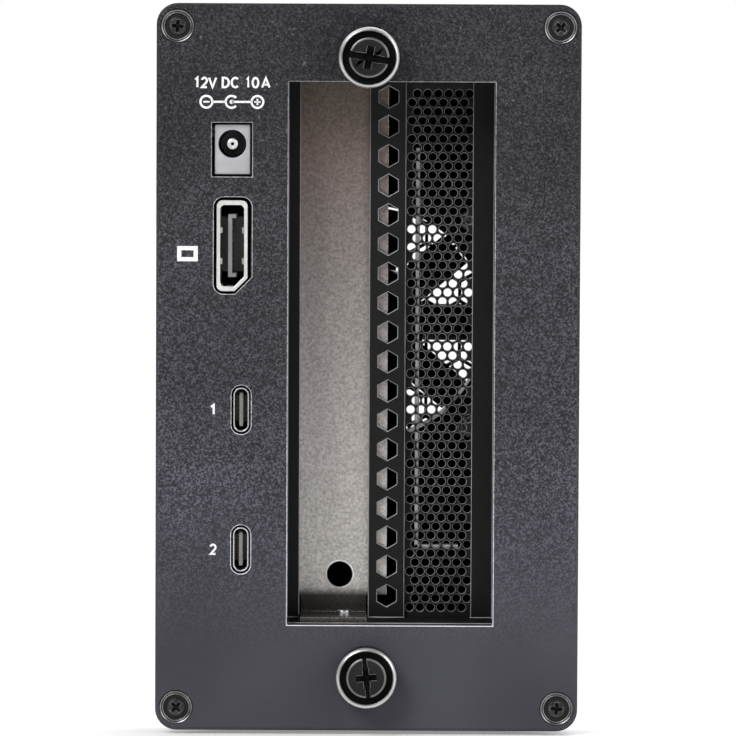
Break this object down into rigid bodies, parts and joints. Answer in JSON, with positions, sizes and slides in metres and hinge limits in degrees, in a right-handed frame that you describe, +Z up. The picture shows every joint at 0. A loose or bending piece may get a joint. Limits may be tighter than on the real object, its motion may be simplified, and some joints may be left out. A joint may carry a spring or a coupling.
{
  "type": "pcie expansion chassis",
  "caption": "Upright expansion box for an add-in computer card: aluminium sleeve, steel tray that slides out forwards, fan, card slot, power inlet and data sockets.",
  "frame": {"origin": "middle of the footprint, on the plane of the feet", "axes": "+Z up, rear face with the slot and sockets towards -Y, +X to the right seen from the rear"},
  "size_m": [0.085, 0.237, 0.1468],
  "materials": {
    "case_coat": "fine-textured charcoal powder coat",
    "black_steel": "satin black coat on folded steel sheet",
    "galvanised": "dull zinc-plated sheet with a fine grain",
    "knob_black": "black oxide with bright worn rims",
    "bush_steel": "dark plated steel",
    "zinc_steel": "bright zinc plate",
    "spacer_brass": "turned",
    "foot_rubber": "matt black",
    "fan_plastic": "moulded black",
    "jack_plastic": "moulded light grey",
    "tongue_plastic": "moulded dark grey",
    "circuit_board": "green solder mask over glass laminate",
    "chip_black": "moulded epoxy",
    "sink_aluminium": "extruded, clear anodised",
    "pin_plastic": "moulded black",
    "can_aluminium": "drawn can",
    "slot_plastic": "moulded black",
    "contact_gold": "gold plate",
    "ivory_plastic": "moulded ivory",
    "wire_sleeve": "soft sleeve",
    "clear_plastic": "clear polished rod"
  },
  "bodies": {
    "case": {"outer_sleeve": "case_coat", "rear_panel": "case_coat", "panel_bushes": "bush_steel", "corner_screws": "knob_black", "rubber_feet": "foot_rubber"},
    "tray": {"inner_tray": "black_steel", "rear_frame": "black_steel", "press_nuts": "zinc_steel", "vented_cover": "black_steel", "slot_cover": "galvanised", "slot_cover_screw": "zinc_steel", "fan_wall": "black_steel", "fan_frame": "fan_plastic", "fan_screws": "zinc_steel", "front_bezel": "case_coat", "bezel_screws": "zinc_steel", "light_pipe": "clear_plastic", "led_board": "circuit_board", "main_board": "circuit_board", "board_standoffs": "spacer_brass", "board_screws": "zinc_steel", "dc_jack_body": "jack_plastic", "dc_jack_pin": "zinc_steel", "display_socket_shell": "zinc_steel", "display_socket_tongue": "tongue_plastic", "data_port_shells": "zinc_steel", "data_port_tongues": "tongue_plastic", "controller_chip": "chip_black", "small_chips": "chip_black", "heat_sink": "sink_aluminium", "heat_sink_pins": "pin_plastic", "power_coils": "chip_black", "capacitors": "can_aluminium", "slot_board": "circuit_board", "slot_board_spacers": "spacer_brass", "slot_board_screws": "zinc_steel", "card_slot": "slot_plastic", "card_slot_contacts": "contact_gold", "link_connector": "ivory_plastic", "fan_header": "ivory_plastic", "fan_plug": "ivory_plastic", "fan_lead": "wire_sleeve", "lead_clip": "ivory_plastic"},
    "fan_rotor": {"fan_rotor": "fan_plastic"},
    "card_latch": {"card_latch": "ivory_plastic"},
    "thumbscrew_top_washer": {"thumbscrew_top_washer": "bush_steel"},
    "thumbscrew_top": {"thumbscrew_top": "knob_black"},
    "thumbscrew_bottom_washer": {"thumbscrew_bottom_washer": "bush_steel"},
    "thumbscrew_bottom": {"thumbscrew_bottom": "knob_black"}
  },
  "joints": [
    {"name": "tray_slide", "type": "slide", "parent": "case", "child": "tray", "axis": [0, 1, 0], "range_m": [0, 0.19]},
    {"name": "fan_spin", "type": "hinge", "parent": "tray", "child": "fan_rotor", "pos_m": [0, 0.1055, 0.0738], "axis": [0, 1, 0], "continuous": true},
    {"name": "card_latch_tilt", "type": "hinge", "parent": "tray", "child": "card_latch", "pos_m": [0.001, 0.0391, 0.13215], "axis": [1, 0, 0], "range_deg": [0, 25]},
    {"name": "thumbscrew_top_turn", "type": "hinge", "parent": "thumbscrew_top_washer", "child": "thumbscrew_top", "pos_m": [0, -0.1125, 0.136], "axis": [0, -1, 0], "range_deg": [0, 2161]},
    {"name": "thumbscrew_top_travel", "type": "slide", "parent": "case", "child": "thumbscrew_top_washer", "axis": [0, -1, 0], "range_m": [0, 0.0042]},
    {"name": "thumbscrew_bottom_turn", "type": "hinge", "parent": "thumbscrew_bottom_washer", "child": "thumbscrew_bottom", "pos_m": [0, -0.1125, 0.0121], "axis": [0, -1, 0], "range_deg": [0, 2161]},
    {"name": "thumbscrew_bottom_travel", "type": "slide", "parent": "case", "child": "thumbscrew_bottom_washer", "axis": [0, -1, 0], "range_m": [0, 0.0042]}
  ],
  "couplings": [
    {"joint": "thumbscrew_top_turn", "follows": "thumbscrew_top_travel", "rad_per_m": 8976},
    {"joint": "thumbscrew_bottom_turn", "follows": "thumbscrew_bottom_travel", "rad_per_m": 8976}
  ]
}
